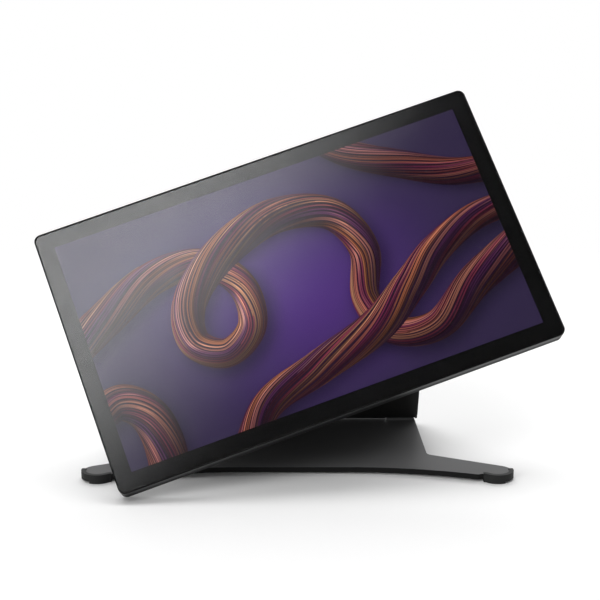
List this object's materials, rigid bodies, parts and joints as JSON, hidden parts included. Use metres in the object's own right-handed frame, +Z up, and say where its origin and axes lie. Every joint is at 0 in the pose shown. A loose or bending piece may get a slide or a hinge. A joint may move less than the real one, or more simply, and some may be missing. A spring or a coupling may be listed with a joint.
{
  "type": "pen display with stand",
  "caption": "Flat pen display with a glass front, turned on a tilting, rotating head, held by a wide hinged arm on a low base plate with two splayed front legs.",
  "frame": {"origin": "on the desk, under the middle of the object's overall box, in the posed state of the display turned 20 degrees", "axes": "+Z up, +Y away from the user towards the back of the stand, +X to the user's right"},
  "size_m": [0.5856, 0.2712, 0.414],
  "materials": {
    "stand_metal": "fine matte powder coat",
    "arm_metal": "fine matte powder coat",
    "arm_plastic": "fine moulded texture",
    "case_metal": "satin anodised look",
    "case_plastic": "fine moulded texture",
    "grille_plastic": "matte",
    "button_plastic": "satin",
    "key_plastic": "satin",
    "fan_plastic": "matte",
    "guide_plastic": "clear acrylic",
    "friction_plastic": "waxy",
    "rubber": "matte",
    "hinge_metal": "satin",
    "hinge_dark": "satin",
    "frame_metal": "as cast",
    "tray_metal": "stamped",
    "socket_metal": "bright",
    "shaft_steel": "ground",
    "spring_steel": "drawn wire",
    "screw_steel": "black zinc",
    "bush_brass": "sintered",
    "copper": "drawn tube",
    "circuit_board": "solder mask",
    "led": "phosphor",
    "lcd": null,
    "glass": "etched anti-glare"
  },
  "bodies": {
    "base": {"base_plate": "stand_metal", "front_pads": "rubber", "rear_feet": "rubber", "lower_brackets": "hinge_metal", "bracket_screws": "screw_steel", "lower_shafts": "shaft_steel"},
    "arm": {"arm_frame": "arm_metal", "arm_front_cover": "arm_metal", "arm_rear_cover": "arm_plastic", "arm_cover_screws": "screw_steel", "lower_bushes": "bush_brass", "upper_bushes": "bush_brass", "lift_spring_left": "spring_steel", "lift_spring_right": "spring_steel"},
    "tilt_head": {"rotation_housing": "hinge_dark", "friction_ring": "friction_plastic", "tilt_bracket": "hinge_dark", "bracket_bolts": "screw_steel", "tilt_shaft": "shaft_steel", "tilt_washers": "screw_steel", "tilt_nuts": "screw_steel"},
    "display": {"vesa_plate": "hinge_dark", "vesa_screws": "screw_steel", "spindle_nut": "screw_steel", "stop_pin": "shaft_steel", "cover_glass": "glass", "glass_gasket": "rubber", "lcd_panel": "lcd", "light_guide": "guide_plastic", "led_bar": "led", "backlight_tray": "tray_metal", "sensor_board": "circuit_board", "shield_plate": "tray_metal", "mid_frame": "frame_metal", "front_frame": "case_metal", "rear_cover": "case_plastic", "cover_screws": "screw_steel", "grip_left": "case_plastic", "grip_right": "case_plastic", "switch_boards": "circuit_board", "vent_grilles": "grille_plastic", "main_board": "circuit_board", "heat_sink": "tray_metal", "heat_pipes": "copper", "fan_housings": "fan_plastic", "video_socket": "socket_metal", "usb_sockets": "socket_metal", "power_inlet": "grille_plastic"},
    "key_left_1": {"key_left_1": "key_plastic"},
    "key_left_2": {"key_left_2": "key_plastic"},
    "key_left_3": {"key_left_3": "key_plastic"},
    "key_left_4": {"key_left_4": "key_plastic"},
    "key_right_1": {"key_right_1": "key_plastic"},
    "key_right_2": {"key_right_2": "key_plastic"},
    "key_right_3": {"key_right_3": "key_plastic"},
    "key_right_4": {"key_right_4": "key_plastic"},
    "power_button": {"power_button": "button_plastic"},
    "touch_switch": {"touch_switch": "button_plastic"},
    "fan_left": {"fan_left": "fan_plastic"},
    "fan_right": {"fan_right": "fan_plastic"}
  },
  "joints": [
    {"name": "arm_lift", "type": "hinge", "parent": "base", "child": "arm", "pos_m": [0, 0.1268, 0.019], "axis": [-1, 0, 0], "range_deg": [0, 30]},
    {"name": "display_tilt", "type": "hinge", "parent": "arm", "child": "tilt_head", "pos_m": [0, 0.02451, 0.18732], "axis": [1, 0, 0], "range_deg": [-45, 0]},
    {"name": "display_rotate", "type": "hinge", "parent": "tilt_head", "child": "display", "pos_m": [0, -0.0207, 0.213], "axis": [0, -0.8695, 0.4939], "range_deg": [-40.6, 0]},
    {"name": "press_left_1", "type": "slide", "parent": "display", "child": "key_left_1", "axis": [0, -0.8695, 0.4939], "range_m": [0, 0.0012], "stiffness_N_per_m": 400},
    {"name": "press_left_2", "type": "slide", "parent": "display", "child": "key_left_2", "axis": [0, -0.8695, 0.4939], "range_m": [0, 0.0012], "stiffness_N_per_m": 400},
    {"name": "press_left_3", "type": "slide", "parent": "display", "child": "key_left_3", "axis": [0, -0.8695, 0.4939], "range_m": [0, 0.0012], "stiffness_N_per_m": 400},
    {"name": "press_left_4", "type": "slide", "parent": "display", "child": "key_left_4", "axis": [0, -0.8695, 0.4939], "range_m": [0, 0.0012], "stiffness_N_per_m": 400},
    {"name": "press_right_1", "type": "slide", "parent": "display", "child": "key_right_1", "axis": [0, -0.8695, 0.4939], "range_m": [0, 0.0012], "stiffness_N_per_m": 400},
    {"name": "press_right_2", "type": "slide", "parent": "display", "child": "key_right_2", "axis": [0, -0.8695, 0.4939], "range_m": [0, 0.0012], "stiffness_N_per_m": 400},
    {"name": "press_right_3", "type": "slide", "parent": "display", "child": "key_right_3", "axis": [0, -0.8695, 0.4939], "range_m": [0, 0.0012], "stiffness_N_per_m": 400},
    {"name": "press_right_4", "type": "slide", "parent": "display", "child": "key_right_4", "axis": [0, -0.8695, 0.4939], "range_m": [0, 0.0012], "stiffness_N_per_m": 400},
    {"name": "press_power", "type": "slide", "parent": "display", "child": "power_button", "axis": [0.3469, -0.4633, -0.8155], "range_m": [0, 0.0008], "stiffness_N_per_m": 500},
    {"name": "slide_touch", "type": "slide", "parent": "display", "child": "touch_switch", "axis": [0.9379, 0.1714, 0.3017], "range_m": [0, 0.003]},
    {"name": "spin_fan_left", "type": "hinge", "parent": "display", "child": "fan_left", "pos_m": [-0.10643, -0.02065, 0.1726], "axis": [0, -0.8695, 0.4939], "continuous": true},
    {"name": "spin_fan_right", "type": "hinge", "parent": "display", "child": "fan_right", "pos_m": [0.10366, 0.01774, 0.24017], "axis": [0, -0.8695, 0.4939], "continuous": true}
  ]
}
